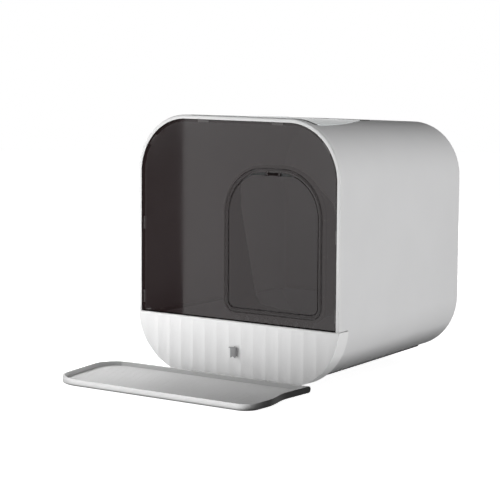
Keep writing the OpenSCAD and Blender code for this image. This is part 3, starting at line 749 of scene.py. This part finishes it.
class LITTER_OT_stage(bpy.types.Operator):
    """Makes the floor, the lights and the camera"""

    bl_idname = "litter.stage"
    bl_label = "Stage"

    def execute(self, context):
        scene = context.scene
        settings = scene.litter_stage
        self.floor()
        self.world(scene, settings.world)
        self.dark_card()
        self.flag()
        for name, (at, target, width, height) in LAMPS.items():
            lamp = soft_light(name, at, target, width, height, getattr(settings, name))
            lamp.visible_camera = False
            lamp.visible_glossy = name not in UNMIRRORED_LAMPS
            if name == "low":
                lamp.data.spread = math.radians(LOW_SPREAD)
        self.camera(scene, settings.lens)
        scene.view_settings.view_transform = "Standard"
        return {"FINISHED"}

    def floor(self):
        """A floor that is white to the camera and grey to the light it sends back"""
        deselect()
        bpy.ops.mesh.primitive_circle_add(vertices=FLOOR_SIDES, radius=FLOOR_RADIUS,
                                          fill_type="NGON", location=(0, 0, 0))
        made = bpy.context.object
        made.name = "floor"
        material = bpy.data.materials.new("pale_floor")
        material.use_nodes = True
        tree = material.node_tree
        tree.nodes.remove(tree.nodes["Principled BSDF"])
        shades = []
        for value in (FLOOR_BOUNCE, FLOOR_PALE):
            shades.append(tree.nodes.new("ShaderNodeBsdfDiffuse"))
            shades[-1].inputs["Color"].default_value = (value, value, value, 1.0)
        glow, white = (tree.nodes.new("ShaderNodeEmission") for _ in range(2))
        glow.inputs["Strength"].default_value = FLOOR_LIFT
        lifted = tree.nodes.new("ShaderNodeAddShader")
        tree.links.new(shades[1].outputs[0], lifted.inputs[0])
        tree.links.new(glow.outputs[0], lifted.inputs[1])
        shown = choose(tree, any_ray(tree, "Is Camera Ray"), shades[0].outputs[0],
                       lifted.outputs[0])
        mirrored = any_ray(tree, "Is Glossy Ray", "Is Transmission Ray")
        shown = choose(tree, mirrored, shown, white.outputs[0])
        tree.links.new(shown, tree.nodes["Material Output"].inputs["Surface"])
        made.data.materials.append(material)

    def dark_card(self):
        """A dark card that only the gloss shows: it lies to the front left, then stands up"""
        points = [(*CARD_NEAR, CARD_LIFT), (*CARD_FAR, CARD_LIFT),
                  (CARD_FAR[0] - CARD_WIDE, CARD_FAR[1], CARD_LIFT),
                  (CARD_FAR[0] - CARD_WIDE, CARD_NEAR[1], CARD_LIFT),
                  (*CARD_FAR, CARD_HIGH), (CARD_FAR[0] - CARD_WIDE, CARD_FAR[1], CARD_HIGH)]
        self.black_card("dark_card", points, [(0, 1, 2, 3), (1, 4, 5, 2)],
                        ("camera", "diffuse", "shadow", "transmission", "volume_scatter"))

    def flag(self):
        """A low black card to the right that keeps the side light off the hood's underside"""
        points = [(FLAG_X, FLAG_FRONT[0], 0.0), (FLAG_X, FLAG_REAR[0], 0.0),
                  (FLAG_X, *FLAG_REAR), (FLAG_X, *FLAG_FRONT)]
        self.black_card("flag", points, [(0, 1, 2, 3)], ("camera", "glossy", "transmission"))

    def black_card(self, name, points, faces, unseen_by):
        """A matt black card that the named kinds of ray pass by"""
        mesh = bpy.data.meshes.new(name)
        mesh.from_pydata(points, [], faces)
        made = bpy.data.objects.new(name, mesh)
        bpy.context.scene.collection.objects.link(made)
        material = bpy.data.materials.new(name + "_black")
        material.use_nodes = True
        principled = material.node_tree.nodes["Principled BSDF"]
        principled.inputs["Base Color"].default_value = CARD_BLACK
        principled.inputs["Roughness"].default_value = 1.0
        principled.inputs["Specular IOR Level"].default_value = 0.0
        made.data.materials.append(material)
        for kind in unseen_by:
            setattr(made, "visible_" + kind, False)

    def world(self, scene, strength):
        """A plain light all round"""
        world = bpy.data.worlds.new("studio")
        scene.world = world
        world.use_nodes = True
        tree = world.node_tree
        plain = tree.nodes["Background"]
        plain.inputs["Color"].default_value = (1.0, 1.0, 1.0, 1.0)
        plain.inputs["Strength"].default_value = strength
        shown = white_to_camera(tree, plain.outputs[0])
        tree.links.new(shown, tree.nodes["World Output"].inputs["Surface"])

    def camera(self, scene, lens):
        """A camera at its place, turned by yaw, pitch and roll"""
        yaw, pitch, roll = CAMERA_YAW, CAMERA_PITCH, CAMERA_ROLL
        forward = Vector((-math.sin(yaw) * math.cos(pitch), math.cos(yaw) * math.cos(pitch),
                          -math.sin(pitch)))
        level = Vector((math.cos(yaw), math.sin(yaw), 0.0))
        upright = level.cross(forward)
        right = level * math.cos(roll) + upright * math.sin(roll)
        up = -level * math.sin(roll) + upright * math.cos(roll)
        data = bpy.data.cameras.new("camera")
        data.sensor_width = SENSOR
        data.lens = lens
        obj = bpy.data.objects.new("camera", data)
        scene.collection.objects.link(obj)
        turn = Matrix((right, up, -forward)).transposed().to_4x4()
        obj.matrix_world = Matrix.Translation(CAMERA_AT) @ turn
        scene.camera = obj


class LITTER_PT_panel(bpy.types.Panel):
    """Lists the operators and the settings"""

    bl_label = "Litter Box"
    bl_idname = "LITTER_PT_panel"
    bl_space_type = "VIEW_3D"
    bl_region_type = "UI"
    bl_category = "Litter Box"

    def draw(self, context):
        for group in (context.scene.litter_shell, context.scene.litter_clear,
                      context.scene.litter_stage):
            box = self.layout.box()
            for key in group.__annotations__:
                box.prop(group, key)
        for operator in OPERATORS:
            self.layout.operator(operator.bl_idname)


OPERATORS = (LITTER_OT_hood, LITTER_OT_front, LITTER_OT_flap, LITTER_OT_drawer,
             LITTER_OT_pedal, LITTER_OT_lid, LITTER_OT_stage)
CLASSES = (ShellSettings, ClearSettings, StageSettings, *OPERATORS, LITTER_PT_panel)


def register():
    for cls in CLASSES:
        bpy.utils.register_class(cls)
    bpy.types.Scene.litter_shell = PointerProperty(type=ShellSettings)
    bpy.types.Scene.litter_clear = PointerProperty(type=ClearSettings)
    bpy.types.Scene.litter_stage = PointerProperty(type=StageSettings)


def unregister():
    del bpy.types.Scene.litter_stage
    del bpy.types.Scene.litter_clear
    del bpy.types.Scene.litter_shell
    for cls in reversed(CLASSES):
        bpy.utils.unregister_class(cls)


def main():
    register()
    bpy.ops.litter.hood()
    bpy.ops.litter.front()
    bpy.ops.litter.flap()
    bpy.ops.litter.drawer()
    bpy.ops.litter.pedal()
    bpy.ops.litter.lid()
    bpy.ops.litter.stage()


if __name__ == "__main__":
    main()
